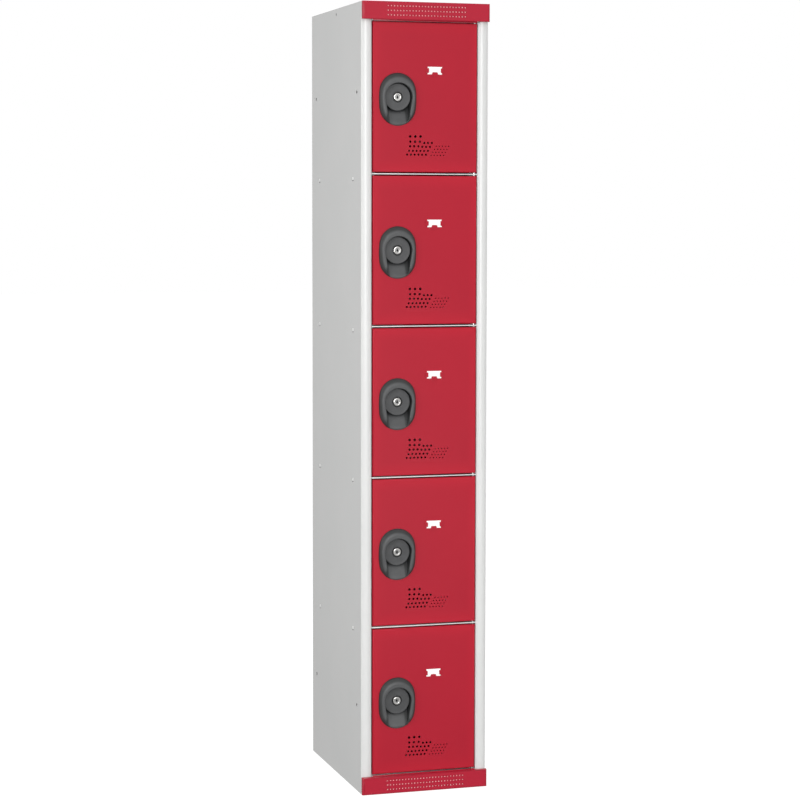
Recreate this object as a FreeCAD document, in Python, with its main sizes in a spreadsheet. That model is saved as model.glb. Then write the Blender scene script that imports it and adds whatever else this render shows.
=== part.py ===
import FreeCAD, Part
import math
import os
import Sketcher
from FreeCAD import Placement, Rotation, Vector

# Five-compartment steel locker, one column of doors hinged on the right.
# Millimetres, +Z up, the doors face -Y, origin on the floor under the middle of the overall box.

DOOR_COUNT = 5

SIZES = {
    # Carcass
    "body_width": 300,
    "body_height": 1800,
    "body_depth": 440,
    "sheet": 1,
    "fit_gap": 0.2,
    "post_width": 25,
    "post_crown": 5,
    "stop_width": 12,
    "back_flange": 12,
    "link_hole_radius": 4,
    "link_hole_inset": 40,
    "link_hole_end": 200,
    # Red fascia and plinth trays
    "fascia_height": 40,
    "plinth_height": 40,
    "band_proud": 10,
    "band_corner": 4,
    # Shelves and their folded front noses
    "nose_height": 5,
    "nose_setback": 3,
    "nose_return": 17,
    "shelf_flange": 15,
    # Doors
    "door_sheet": 1,
    "door_setback": 2,
    "door_depth": 22,
    "door_side_gap": 2,
    "door_end_gap": 1.5,
    "door_fold": 1,
    "door_hem": 12,
    "stop_gap": 1.5,
    "hinge_inset": 5,
    "pin_radius": 2.5,
    "pin_reach": 3,
    "pin_play": 0.05,
    # Vent holes, from the first hole of the lowest row
    "vent_rise": 39.6,
    "vent_start": 81,
    "vent_pitch": 8.9,
    "vent_radius": 2.6,
    # Label card and its three tabs
    "card_width": 34,
    "card_height": 17,
    "card_thickness": 0.3,
    "card_side": 145.5,
    "card_drop": 107.35,
    "tab_width": 10.5,
    "tab_overlap": 3,
    "low_tab_width": 14,
    "low_tab_overlap": 4.8,
    "tab_foot": 4,
    "tab_sheet": 0.8,
    "tab_gap": 0.3,
    # Moulded pull handle
    "lock_side": 58,
    "handle_width": 87.6,
    "handle_height": 118.4,
    "handle_drop": 4.85,
    "handle_flank": 0.8,
    "handle_rise": 10,
    "handle_lean": 12,
    "cup_wall": 2,
    "cup_corner": 16,
    "cup_hip": 24,
    "cup_foot_rise": 9.75,
    "cup_foot_width": 44,
    "cup_clearance": 0.5,
    "boss_width": 22,
    "boss_rise": 4,
    "scoop_start": 14,
    "scoop_end_rise": 5.75,
    "scoop_lip": 3,
    "scoop_foot_width": 42,
    # Pull disc
    "disc_radius": 30.5,
    "disc_thickness": 5,
    "disc_setback": 1,
    "disc_gap": 3,
    "finger_depth": 13,
    # Lock
    "plug_radius": 8.75,
    "plug_thickness": 1.5,
    "key_slot_width": 1.6,
    "key_slot_height": 8,
    "key_slot_depth": 1,
    "spindle_width": 7,
    "spindle_play": 0.05,
    "cam_gap": 0.3,
    "cam_width": 16,
    "cam_thickness": 2.5,
    "cam_reach": 57,
    "cam_tail": 10,
    "cam_corner": 4,
    "bolt_flats": 11,
    "bolt_height": 3.5,
}
# Rows of vents: rise, start and spacing in vent pitches, number of holes, and radius in vent radii
VENT_ROWS = [
    (0, 0, 1, 6, 1),
    (0.955, 0.45, 1, 6, 1),
    (2.1, 0.72, 1.09, 3, 1.05),
    (1.99, 3.93, 1.03, 3, 1),
    (3.27, 0.765, 1.275, 3, 1.1),
    (2.98, 4.47, 1.01, 3, 1.05),
    (4.585, 0.72, 1.38, 3, 1.2),
]


class Size:
    """A length that carries its value and the sheet formula it is bound to."""

    def __init__(self, number, text):
        self.number = float(number)
        self.text = text

    @staticmethod
    def of(value):
        return value if isinstance(value, Size) else Size(value, f"({value})")

    def join(self, sign, other, number):
        return Size(number, f"({self.text} {sign} {other.text})")

    def __add__(self, other):
        other = Size.of(other)
        return self.join("+", other, self.number + other.number)

    def __sub__(self, other):
        other = Size.of(other)
        return self.join("-", other, self.number - other.number)

    def __mul__(self, other):
        other = Size.of(other)
        return self.join("*", other, self.number * other.number)

    def __truediv__(self, other):
        other = Size.of(other)
        return self.join("/", other, self.number / other.number)

    def __radd__(self, other):
        return Size.of(other) + self

    def __rsub__(self, other):
        return Size.of(other) - self

    def __rmul__(self, other):
        return Size.of(other) * self

    def __neg__(self):
        return Size(-self.number, f"(0 - {self.text})")

    def root(self):
        return Size(math.sqrt(self.number), f"sqrt({self.text})")

    def slope(self):
        return Size(math.degrees(math.atan(self.number)), f"atan({self.text})")

    def at_most(self, other):
        return Size(min(self.number, other.number), f"min({self.text}; {other.text})")


document = FreeCAD.newDocument("Locker")
sheet = document.addObject("Spreadsheet::Sheet", "Sizes")
for row, (name, number) in enumerate(SIZES.items(), start=1):
    sheet.set(f"A{row}", name)
    sheet.set(f"B{row}", str(number))
    sheet.setAlias(f"B{row}", name)
document.recompute()


class Named:
    """Gives each sheet size as an attribute."""

    def __getattr__(self, name):
        return Size(SIZES[name], f"Sizes.{name}")


size = Named()
ZERO = Size(0, "0")
# Small repeated rounds are made with flats
SMALL_HOLE_SIDES = 8
PIN_SIDES = 10
PLUG_SIDES = 12
DISC_SIDES = 24

# Places worked out from the sizes; depths count back from the foremost line of the posts
overall_depth = size.body_depth + size.band_proud
front = size.band_proud - overall_depth / 2
half_width = size.body_width / 2
opening_half = half_width - size.post_width
stop_front = size.door_setback + size.door_depth + size.stop_gap
stop_back = stop_front + size.sheet
back_panel_front = size.body_depth - 2 * size.sheet
deck_front = stop_back + size.fit_gap
deck_back = back_panel_front - size.fit_gap
deck_half = half_width - size.sheet - size.fit_gap
nose_half = opening_half - size.fit_gap
neck_half = opening_half - size.stop_width - size.fit_gap
nose_top = size.nose_height / 2
ear_front = size.post_crown + size.sheet
ear_inside = opening_half + size.sheet + size.fit_gap

door_pitch = (size.body_height - size.fascia_height - size.plinth_height) / DOOR_COUNT
door_half_height = door_pitch / 2 - nose_top - size.door_end_gap
door_half = opening_half - size.door_side_gap
door_back = size.door_setback + size.door_depth
hinge_x = door_half - size.hinge_inset
hinge_depth = size.door_setback + size.hinge_inset
pin_hole_radius = size.pin_radius + size.pin_play

lock_x = size.lock_side - door_half
disc_face = size.door_setback + size.disc_setback
disc_back = disc_face + size.disc_thickness
pocket_floor = disc_back + size.finger_depth
pocket_radius = size.disc_radius + size.disc_gap
cup_back = pocket_floor + size.cup_wall
cup_reach = pocket_radius + size.cup_wall
spindle_bore = size.spindle_width / Size(2, "2").root() + size.spindle_play
cam_front = cup_back + size.boss_rise + size.cam_gap
cam_back = cam_front + size.cam_thickness
handle_foot = size.handle_drop + size.handle_height / 2
cup_foot = handle_foot - size.cup_foot_rise
scoop_end = handle_foot - size.scoop_end_rise

card_x = size.card_side - door_half
card_z = door_half_height - size.card_drop


def depth(behind_posts):
    """The Y place of a depth behind the foremost line of the posts."""
    return front + behind_posts


def bind(thing, path, value):
    thing.setExpression(path, Size.of(value).text)


def place(thing, x=ZERO, y=ZERO, z=ZERO, turn=None):
    """Stand a solid at a bound place, turned about the given axis and angle."""
    if turn:
        thing.Placement = Placement(Vector(), Rotation(*turn))
    for axis, value in (("x", x), ("y", y), ("z", z)):
        bind(thing, f"Placement.Base.{axis}", value)


# Turns that stand a flat sketch upright, facing the front or facing the right
FACING_FRONT = (Vector(1, 0, 0), 90)
FACING_RIGHT = (Vector(1, 1, 1), 120)


def pin_point(sketch, geometry, point, u, v):
    """Hold a sketch point at its two coordinates, each bound to the sheet."""
    for kind, value in (("DistanceX", u), ("DistanceY", v)):
        value = Size.of(value)
        index = sketch.addConstraint(Sketcher.Constraint(kind, geometry, point, value.number))
        sketch.setExpression(f"Constraints[{index}]", value.text)


def outline(sketch, corners):
    """Closed outline through corners (u, v); a corner (u, v, radius, side) starts an arc that
    bulges to the left (side 1) or to the right (side -1) of the way to the next corner."""
    pieces = []
    for index, corner in enumerate(corners):
        following = corners[(index + 1) % len(corners)]
        start = Vector(Size.of(corner[0]).number, Size.of(corner[1]).number, 0)
        end = Vector(Size.of(following[0]).number, Size.of(following[1]).number, 0)
        if len(corner) == 2:
            pieces.append((sketch.addGeometry(Part.LineSegment(start, end), False), 1, 2))
            continue
        radius, side = corner[2], corner[3]
        chord = end - start
        sag = radius.number - math.sqrt(radius.number ** 2 - chord.Length ** 2 / 4)
        middle = (start + end) / 2 + Vector(-chord.y, chord.x, 0) * (side * sag / chord.Length)
        if side < 0:
            pieces.append((sketch.addGeometry(Part.Arc(start, middle, end), False), 1, 2))
        else:
            pieces.append((sketch.addGeometry(Part.Arc(end, middle, start), False), 2, 1))
        bound = sketch.addConstraint(Sketcher.Constraint("Radius", pieces[-1][0], radius.number))
        sketch.setExpression(f"Constraints[{bound}]", radius.text)
    for index, corner in enumerate(corners):
        piece, entry, _ = pieces[index]
        before, _, leave = pieces[index - 1]
        sketch.addConstraint(Sketcher.Constraint("Coincident", before, leave, piece, entry))
        pin_point(sketch, piece, entry, corner[0], corner[1])


def rectangle(sketch, left, bottom, right, top):
    outline(sketch, [(left, bottom), (right, bottom), (right, top), (left, top)])


def circle(sketch, u, v, radius):
    middle = Vector(Size.of(u).number, Size.of(v).number, 0)
    index = sketch.addGeometry(Part.Circle(middle, Vector(0, 0, 1), radius.number), False)
    pin_point(sketch, index, 3, u, v)
    bound = sketch.addConstraint(Sketcher.Constraint("Radius", index, radius.number))
    sketch.setExpression(f"Constraints[{bound}]", radius.text)


def polygon(sketch, u, v, inner_radius, sides):
    """Even-sided hole or bar with flats at the inner radius, standing on a flat."""
    corner_radius = inner_radius / round(math.cos(math.pi / sides), 9)
    corners = []
    for index in range(sides):
        angle = 2 * math.pi * (index + 0.5) / sides
        corners.append((u + corner_radius * round(math.cos(angle), 9),
                        v + corner_radius * round(math.sin(angle), 9)))
    outline(sketch, corners)


def body(name):
    return document.addObject("PartDesign::Body", name)


def body_sketch(owner, role, offset=ZERO):
    """Sketch on one of the body's origin planes, moved along the plane's normal."""
    plane = [feature for feature in owner.Origin.OriginFeatures if feature.Role == role][0]
    sketch = owner.newObject("Sketcher::SketchObject", f"{owner.Name}Sketch")
    sketch.AttachmentSupport = (plane, [""])
    sketch.MapMode = "FlatFace"
    bind(sketch, "AttachmentOffset.Base.z", offset)
    return sketch


def front_sketch(owner, behind_posts):
    """Sketch (x, z) that faces the front, at a depth behind the posts."""
    return body_sketch(owner, "XZ_Plane", -depth(behind_posts))


def pad(owner, sketch, length, backwards=False, symmetric=False):
    feature = owner.newObject("PartDesign::Pad", f"{owner.Name}Pad")
    feature.Profile = sketch
    feature.Reversed = backwards
    if symmetric:
        feature.SideType = "Symmetric"
    bind(feature, "Length", length)
    document.recompute()
    return feature


def pocket(owner, sketch, length=None, outwards=False, symmetric=False):
    """Cut against the sketch's normal, or along it, right through if no length is given."""
    before = owner.Shape.Volume
    feature = owner.newObject("PartDesign::Pocket", f"{owner.Name}Pocket")
    feature.Profile = sketch
    feature.Reversed = outwards
    if symmetric:
        feature.SideType = "Symmetric"
    if length is None:
        feature.Type = "ThroughAll"
    else:
        bind(feature, "Length", length)
    document.recompute()
    if feature.Shape.Volume >= before:
        raise RuntimeError(f"{owner.Label}: a pocket cut nothing")
    return feature


def edges_at_front(base, behind_posts, upright_only=False):
    """Names of the edges of a feature that lie in a plane at a depth behind the posts."""
    face = depth(behind_posts).number
    names = []
    for index, edge in enumerate(base.Shape.Edges, start=1):
        bounds = edge.BoundBox
        if bounds.YMax < face + 0.01 and (bounds.ZLength > bounds.XLength or not upright_only):
            names.append(f"Edge{index}")
    return names


def extrusion(name, sketch, ahead, behind):
    """Solid that runs ahead of and behind a free sketch, along its normal."""
    solid = document.addObject("Part::Extrusion", name)
    solid.Base = sketch
    solid.DirMode = "Normal"
    solid.Solid = True
    bind(solid, "LengthFwd", ahead)
    bind(solid, "LengthRev", behind)
    return solid


def box(name, x, y, z, x_size, y_size, z_size):
    solid = document.addObject("Part::Box", name)
    for path, value in (("Length", x_size), ("Width", y_size), ("Height", z_size)):
        bind(solid, path, value)
    place(solid, x, y, z)
    return solid


def cut(name, base, tool):
    solid = document.addObject("Part::Cut", name)
    solid.Base = base
    solid.Tool = tool
    return solid


def left_side_panel():
    """One folded sheet: back flange, side, rounded front post, jamb and door stop."""
    owner = body("left_side_panel")
    crown_radius = (size.post_width * size.post_width / 4 + size.post_crown * size.post_crown) \
        / (2 * size.post_crown)
    inner_radius = crown_radius - size.sheet
    inner_half = size.post_width / 2 - size.sheet
    inner_crown = crown_radius - (inner_radius * inner_radius - inner_half * inner_half).root()
    outside, jamb = -half_width, -opening_half
    stop_tip = jamb + size.stop_width
    flange_tip = outside + size.back_flange
    plan = body_sketch(owner, "XY_Plane")
    outline(plan, [
        (flange_tip, depth(size.body_depth)),
        (outside, depth(size.body_depth)),
        (outside, depth(size.post_crown), crown_radius, -1),
        (jamb, depth(size.post_crown)),
        (jamb, depth(stop_front)),
        (stop_tip, depth(stop_front)),
        (stop_tip, depth(stop_back)),
        (jamb - size.sheet, depth(stop_back)),
        (jamb - size.sheet, depth(inner_crown), inner_radius, 1),
        (outside + size.sheet, depth(inner_crown)),
        (outside + size.sheet, depth(size.body_depth - size.sheet)),
        (flange_tip, depth(size.body_depth - size.sheet)),
    ])
    pad(owner, plan, size.body_height - size.sheet)
    holes = body_sketch(owner, "YZ_Plane", -opening_half - size.post_width / 2)
    for y in (depth(size.link_hole_inset), depth(size.body_depth - size.link_hole_inset)):
        for z in (size.link_hole_end, size.body_height - size.link_hole_end):
            circle(holes, y, z, size.link_hole_radius)
    pocket(owner, holes)
    return owner


def right_side_panel(left):
    panel = document.addObject("Part::Mirroring", "right_side_panel")
    panel.Source = left
    panel.Normal = Vector(1, 0, 0)
    return panel


def back_panel():
    return box("back_panel", -deck_half, depth(back_panel_front), ZERO,
               2 * deck_half, size.sheet, size.body_height - size.sheet)


def pin_hole(owner, height=ZERO):
    """Sketch of the hole that a hinge pin passes through."""
    hole = body_sketch(owner, "XY_Plane", height)
    polygon(hole, hinge_x, depth(hinge_depth), pin_hole_radius, SMALL_HOLE_SIDES)
    return hole


def shelf():
    """Shelf about the middle of its nose: folded nose, neck between the stops, flanged deck and
    two ears that close the posts at its level."""
    owner = body("shelf_master")
    nose_back = stop_front - size.fit_gap
    nose_inside = nose_top - size.sheet
    nose = body_sketch(owner, "YZ_Plane")
    outline(nose, [
        (depth(size.nose_setback), nose_top),
        (depth(size.nose_setback), -nose_top),
        (depth(size.nose_setback + size.nose_return), -nose_top),
        (depth(size.nose_setback + size.nose_return), -nose_inside),
        (depth(size.nose_setback + size.sheet), -nose_inside),
        (depth(size.nose_setback + size.sheet), nose_inside),
        (depth(nose_back), nose_inside),
        (depth(nose_back), nose_top),
    ])
    pad(owner, nose, 2 * nose_half, symmetric=True)
    neck = body_sketch(owner, "YZ_Plane")
    rectangle(neck, depth(nose_back), nose_inside, depth(deck_front), nose_top)
    pad(owner, neck, 2 * neck_half, symmetric=True)
    deck = front_sketch(owner, deck_front)
    flange_foot = nose_top - size.shelf_flange
    outline(deck, [
        (-deck_half, nose_top),
        (-deck_half, flange_foot),
        (size.sheet - deck_half, flange_foot),
        (size.sheet - deck_half, nose_inside),
        (deck_half - size.sheet, nose_inside),
        (deck_half - size.sheet, flange_foot),
        (deck_half, flange_foot),
        (deck_half, nose_top),
    ])
    pad(owner, deck, deck_back - deck_front, backwards=True)
    ears = front_sketch(owner, deck_front)
    rectangle(ears, -deck_half, nose_inside, -ear_inside, nose_top)
    rectangle(ears, ear_inside, nose_inside, deck_half, nose_top)
    pad(owner, ears, deck_front - ear_front)
    pocket(owner, pin_hole(owner), 2 * size.nose_height, symmetric=True)
    return owner


def roof_panel():
    """Roof sheet with side flanges, and a front wall that ends in the top door's nose."""
    owner = body("roof_panel")
    underside = size.body_height - size.sheet
    nose_foot = size.body_height - size.fascia_height - nose_top
    top = body_sketch(owner, "XY_Plane", underside)
    rectangle(top, -half_width, depth(size.nose_setback), half_width, depth(size.body_depth))
    pad(owner, top, size.sheet)
    wall = body_sketch(owner, "YZ_Plane")
    outline(wall, [
        (depth(size.nose_setback), underside),
        (depth(size.nose_setback), nose_foot),
        (depth(size.nose_setback + size.nose_return), nose_foot),
        (depth(size.nose_setback + size.nose_return), nose_foot + size.sheet),
        (depth(size.nose_setback + size.sheet), nose_foot + size.sheet),
        (depth(size.nose_setback + size.sheet), underside),
    ])
    pad(owner, wall, 2 * nose_half, symmetric=True)
    flanges = front_sketch(owner, deck_front)
    rectangle(flanges, -deck_half, underside - size.shelf_flange, size.sheet - deck_half, underside)
    rectangle(flanges, deck_half - size.sheet, underside - size.shelf_flange, deck_half, underside)
    pad(owner, flanges, deck_back - deck_front, backwards=True)
    hole = pin_hole(owner, size.body_height - size.fascia_height)
    pocket(owner, hole, size.nose_height)
    return owner


def band(name, height, foot):
    """Folded tray across both posts, with rounded ends and an open back."""
    owner = body(name)
    blank = front_sketch(owner, -size.fit_gap)
    rectangle(blank, -half_width, foot, half_width, foot + height)
    block = pad(owner, blank, size.band_proud - size.fit_gap)
    ends = owner.newObject("PartDesign::Fillet", f"{name}Ends")
    ends.Base = (block, edges_at_front(block, -size.band_proud, upright_only=True))
    bind(ends, "Radius", size.band_corner)
    document.recompute()
    faces = ends.Shape.Faces
    back = max(range(len(faces)), key=lambda index: faces[index].CenterOfMass.y)
    shell = owner.newObject("PartDesign::Thickness", f"{name}Shell")
    shell.Base = (ends, [f"Face{back + 1}"])
    shell.Reversed = True
    bind(shell, "Value", size.sheet)
    document.recompute()
    return owner


def hinge_pins():
    """One pin through each nose, into the doors above and below it."""
    pins = []
    length = size.nose_height + 2 * (size.door_end_gap + size.door_sheet + size.pin_reach)
    for level in range(DOOR_COUNT + 1):
        pin = document.addObject("Part::Prism", f"hinge_pin_{level}")
        pin.Polygon = PIN_SIDES
        bind(pin, "Circumradius", size.pin_radius)
        bind(pin, "Height", length)
        place(pin, hinge_x, depth(hinge_depth), size.plinth_height + door_pitch * level - length / 2)
        pins.append(pin)
    group = document.addObject("Part::Compound", "hinge_pins")
    group.Links = pins
    return group


def door_tray():
    """Folded door about its middle: eased front edges, open back with two hems, pin holes."""
    owner = body("door_tray")
    blank = front_sketch(owner, door_back)
    rectangle(blank, -door_half, -door_half_height, door_half, door_half_height)
    block = pad(owner, blank, size.door_depth)
    fold = owner.newObject("PartDesign::Chamfer", "door_fold")
    fold.Base = (block, edges_at_front(block, size.door_setback))
    bind(fold, "Size", size.door_fold.at_most(size.door_sheet))
    document.recompute()
    inside = front_sketch(owner, door_back)
    inner_half, inner_height = door_half - size.door_sheet, door_half_height - size.door_sheet
    rectangle(inside, -inner_half, -inner_height, inner_half, inner_height)
    pocket(owner, inside, size.door_depth - size.door_sheet, outwards=True)
    hems = front_sketch(owner, door_back)
    rectangle(hems, -inner_half, -inner_height, size.door_hem - door_half, inner_height)
    rectangle(hems, door_half - size.door_hem, -inner_height, inner_half, inner_height)
    pad(owner, hems, size.door_sheet)
    label_tabs(owner)
    opening = front_sketch(owner, door_back)
    outline(opening, cup_outline(size.cup_clearance))
    pocket(owner, opening, outwards=True)
    pocket(owner, pin_hole(owner), 3 * door_half_height, symmetric=True)
    return owner


def tab_profile(edge, outward, overlap, along_first):
    """Hooked tab on the door face beside one edge of the card; outward is 1 or -1."""
    under = size.door_setback - size.card_thickness - size.tab_gap
    over = under - size.tab_sheet
    root = edge + outward * size.tab_gap
    heel = root + outward * size.tab_foot
    tip = edge - outward * overlap
    corners = [
        (root, depth(size.door_setback)),
        (heel, depth(size.door_setback)),
        (heel, depth(over)),
        (tip, depth(over)),
        (tip, depth(under)),
        (root, depth(under)),
    ]
    return corners if along_first else [(v, u) for u, v in corners]


def label_tabs(owner):
    """Three tabs hold the card, one at each side and one below it."""
    sides = body_sketch(owner, "XY_Plane", card_z)
    outline(sides, tab_profile(card_x - size.card_width / 2, -1, size.tab_overlap, True))
    outline(sides, tab_profile(card_x + size.card_width / 2, 1, size.tab_overlap, True))
    pad(owner, sides, size.tab_width, symmetric=True)
    below = body_sketch(owner, "YZ_Plane", card_x)
    outline(below, tab_profile(card_z - size.card_height / 2, -1, size.low_tab_overlap, False))
    pad(owner, below, size.low_tab_width, symmetric=True)


def cup_outline(clearance):
    """Eight-sided outline of the handle's cup where it passes through the door."""
    reach = cup_reach + clearance
    shoulder = reach - size.cup_corner
    foot = size.cup_foot_width / 2 + clearance
    right = [
        (shoulder, reach),
        (reach, shoulder),
        (reach, -size.cup_hip),
        (foot, -cup_foot - clearance),
    ]
    left = [(-u, v) for u, v in reversed(right)]
    return [(lock_x + u, v) for u, v in right + left]


def vent_holes():
    """Hexagonal vents near the lower edge, in rows that spread as they rise."""
    holes = []
    for row, (rise, shift, spread, count, widening) in enumerate(VENT_ROWS):
        z = size.vent_rise - door_half_height + size.vent_pitch * rise
        start = size.vent_start - door_half + size.vent_pitch * shift
        for column in range(count):
            hole = document.addObject("Part::Prism", f"vent_{row}_{column}")
            hole.Polygon = 6
            bind(hole, "Circumradius", size.vent_radius * widening)
            bind(hole, "Height", 3 * size.door_sheet)
            place(hole, start + size.vent_pitch * (spread * column),
                  depth(size.door_setback + 2 * size.door_sheet), z, FACING_FRONT)
            holes.append(hole)
    group = document.addObject("Part::Compound", "vent_holes")
    group.Links = holes
    return group


def oval(sketch):
    """Upright oval of four tangent arcs, two round its ends and two along its sides."""
    half_height, half_across = size.handle_height / 2, size.handle_width / 2
    end_radius = half_across - size.handle_flank
    side_radius = (half_height * half_height + half_across * half_across - 2 * half_height * end_radius) \
        / (2 * (half_across - end_radius))
    share = end_radius / (side_radius - end_radius)
    u = share * (side_radius - half_across)
    v = (half_height - end_radius) * (1 + share)
    outline(sketch, [
        (lock_x - u, v - size.handle_drop, side_radius, -1),
        (lock_x - u, -v - size.handle_drop, end_radius, -1),
        (lock_x + u, -v - size.handle_drop, side_radius, -1),
        (lock_x + u, v - size.handle_drop, end_radius, -1),
    ])


def handle_bezel():
    """Oval bezel on the door face, whose sides lean in to a narrow crown."""
    owner = body("handle_bezel")
    plan = front_sketch(owner, size.door_setback)
    oval(plan)
    block = pad(owner, plan, size.handle_rise)
    faces = block.Shape.Faces
    order = sorted(range(len(faces)), key=lambda index: faces[index].CenterOfMass.y)
    draft = owner.newObject("PartDesign::Draft", "handle_bezelDraft")
    draft.Base = (block, [f"Face{index + 1}" for index in order[1:-1]])
    draft.NeutralPlane = (block, [f"Face{order[-1] + 1}"])
    draft.Reversed = True
    bind(draft, "Angle", (size.handle_lean / size.handle_rise).slope())
    document.recompute()
    return owner


def handle_pocket():
    """Arch-shaped hollow round the pull disc, with a floor that ramps out to the lower lip."""
    ahead = size.handle_rise + size.disc_gap
    foot = handle_foot + size.disc_gap
    foot_half = size.scoop_foot_width / 2
    plan = document.addObject("Sketcher::SketchObject", "pocket_plan")
    outline(plan, [
        (pocket_radius, ZERO, pocket_radius, -1),
        (ZERO, pocket_radius, pocket_radius, -1),
        (-pocket_radius, ZERO),
        (-foot_half, -foot),
        (foot_half, -foot),
    ])
    place(plan, lock_x, depth(size.door_setback), ZERO, FACING_FRONT)
    arch = extrusion("pocket_arch", plan, ahead, pocket_floor - size.door_setback)
    lip = size.door_setback - size.scoop_lip
    mouth = size.door_setback - ahead
    profile = document.addObject("Sketcher::SketchObject", "pocket_profile")
    outline(profile, [
        (mouth, 2 * pocket_radius),
        (mouth, -2 * foot),
        (lip, -2 * foot),
        (lip, -scoop_end),
        (pocket_floor, -size.scoop_start),
        (pocket_floor, 2 * pocket_radius),
    ])
    place(profile, lock_x, front, ZERO, FACING_RIGHT)
    side = extrusion("pocket_side", profile, 2 * pocket_radius, 2 * pocket_radius)
    hollow = document.addObject("Part::Common", "handle_pocket")
    hollow.Base = arch
    hollow.Tool = side
    return hollow


def handle():
    """Moulded oval bezel with its cup and rear boss, hollowed by the pocket and bored for the lock."""
    bezel = handle_bezel()
    plan = document.addObject("Sketcher::SketchObject", "cup_plan")
    outline(plan, cup_outline(ZERO))
    place(plan, ZERO, depth(size.door_setback), ZERO, FACING_FRONT)
    cup = extrusion("handle_cup", plan, ZERO, cup_back - size.door_setback)
    boss_half = size.boss_width / 2
    boss = box("handle_boss", lock_x - boss_half, depth(cup_back), -boss_half,
               size.boss_width, size.boss_rise, size.boss_width)
    blank = document.addObject("Part::MultiFuse", "handle_blank")
    blank.Shapes = [bezel, cup, boss]
    bore_plan = document.addObject("Sketcher::SketchObject", "bore_plan")
    polygon(bore_plan, ZERO, ZERO, spindle_bore, SMALL_HOLE_SIDES)
    place(bore_plan, lock_x, depth(pocket_floor), ZERO, FACING_FRONT)
    bore = extrusion("handle_bore", bore_plan, size.cup_wall, 2 * (size.cup_wall + size.boss_rise))
    return cut("handle_master", cut("handle_hollow", blank, handle_pocket()), bore)


def pull_disc():
    """Disc to pull on, with a square stem down to the pocket's floor, bored for the spindle."""
    owner = body("pull_disc_master")
    disc = front_sketch(owner, disc_face)
    polygon(disc, lock_x, ZERO, size.disc_radius, DISC_SIDES)
    polygon(disc, lock_x, ZERO, spindle_bore, SMALL_HOLE_SIDES)
    pad(owner, disc, size.disc_thickness, backwards=True)
    stem = front_sketch(owner, disc_back)
    stem_half = size.boss_width / 2
    rectangle(stem, lock_x - stem_half, -stem_half, lock_x + stem_half, stem_half)
    polygon(stem, lock_x, ZERO, spindle_bore, SMALL_HOLE_SIDES)
    pad(owner, stem, size.finger_depth, backwards=True)
    return owner


def lock_plug():
    """Round lock face with its key slot, on a square spindle that carries the cam."""
    owner = body("lock_plug_master")
    head = front_sketch(owner, disc_face)
    polygon(head, lock_x, ZERO, size.plug_radius, PLUG_SIDES)
    pad(owner, head, size.plug_thickness)
    half = size.spindle_width / 2
    spindle = front_sketch(owner, disc_face)
    rectangle(spindle, lock_x - half, -half, lock_x + half, half)
    pad(owner, spindle, cam_back - disc_face, backwards=True)
    slot = front_sketch(owner, disc_face - size.plug_thickness)
    slot_x, slot_z = size.key_slot_width / 2, size.key_slot_height / 2
    rectangle(slot, lock_x - slot_x, -slot_z, lock_x + slot_x, slot_z)
    pocket(owner, slot, size.key_slot_depth)
    return owner


def cam():
    """Flat cam, hanging down, with a square hole for the spindle and chamfered corners."""
    owner = body("cam_master")
    plate = front_sketch(owner, cam_front)
    half = size.cam_width / 2
    inner = half - size.cam_corner
    right = [
        (inner, size.cam_tail),
        (half, size.cam_tail - size.cam_corner),
        (half, size.cam_corner - size.cam_reach),
        (inner, -size.cam_reach),
    ]
    left = [(-u, v) for u, v in reversed(right)]
    outline(plate, [(lock_x + u, v) for u, v in right + left])
    hole = size.spindle_width / 2 + size.spindle_play
    rectangle(plate, lock_x - hole, -hole, lock_x + hole, hole)
    pad(owner, plate, size.cam_thickness, backwards=True)
    return owner


def cam_bolt():
    owner = body("cam_bolt_master")
    head = front_sketch(owner, cam_back)
    polygon(head, lock_x, ZERO, size.bolt_flats / 2, 6)
    pad(owner, head, size.bolt_height, backwards=True)
    return owner


def label_card():
    owner = body("label_card_master")
    card = front_sketch(owner, size.door_setback)
    half_card, half_rise = size.card_width / 2, size.card_height / 2
    rectangle(card, card_x - half_card, card_z - half_rise, card_x + half_card, card_z + half_rise)
    pad(owner, card, size.card_thickness)
    return owner


def copy_at(master, name, height):
    """A piece like the master, raised to its own height."""
    owner = body(name)
    base = document.addObject("PartDesign::FeatureBase", f"{name}_base")
    base.BaseFeature = master
    owner.Group = [base]
    owner.Tip = base
    bind(owner, "Placement.Base.z", height)
    return owner


def build_carcass():
    left = left_side_panel()
    pieces = [left, right_side_panel(left), back_panel(), roof_panel(), hinge_pins()]
    pieces.append(band("top_fascia", size.fascia_height, size.body_height - size.fascia_height))
    pieces.append(band("plinth", size.plinth_height, ZERO))
    master = shelf()
    for level in range(DOOR_COUNT):
        name = f"shelf_{DOOR_COUNT - level}" if level else "floor_panel"
        pieces.append(copy_at(master, name, size.plinth_height + door_pitch * level))
    return pieces


def build_doors():
    masters = {
        "door": cut("door_master", door_tray(), vent_holes()),
        "handle": handle(),
        "pull_disc": pull_disc(),
        "label_card": label_card(),
        "lock_plug": lock_plug(),
        "cam": cam(),
        "cam_bolt": cam_bolt(),
    }
    document.recompute()
    pieces = []
    for number in range(1, DOOR_COUNT + 1):
        height = size.plinth_height + door_pitch * (DOOR_COUNT - number + 0.5)
        for name, master in masters.items():
            pieces.append(copy_at(master, f"{name}_{number}", height))
    return pieces


pieces = build_carcass() + build_doors()
document.recompute()

for thing in document.Objects:
    if "Invalid" in thing.State or "Error" in thing.State:
        raise RuntimeError(f"{thing.Label} failed: {thing.State}")
for piece in pieces:
    if piece.Shape.isNull() or not piece.Shape.isValid():
        raise RuntimeError(f"{piece.Label} has no valid shape")

os.makedirs("parts", exist_ok=True)
for piece in pieces:
    piece.Shape.exportStep(f"parts/{piece.Label}.step")
    print(f"{piece.Label}: {len(piece.Shape.Solids)} solid, {piece.Shape.Volume:.0f} mm3")
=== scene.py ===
import math

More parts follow.
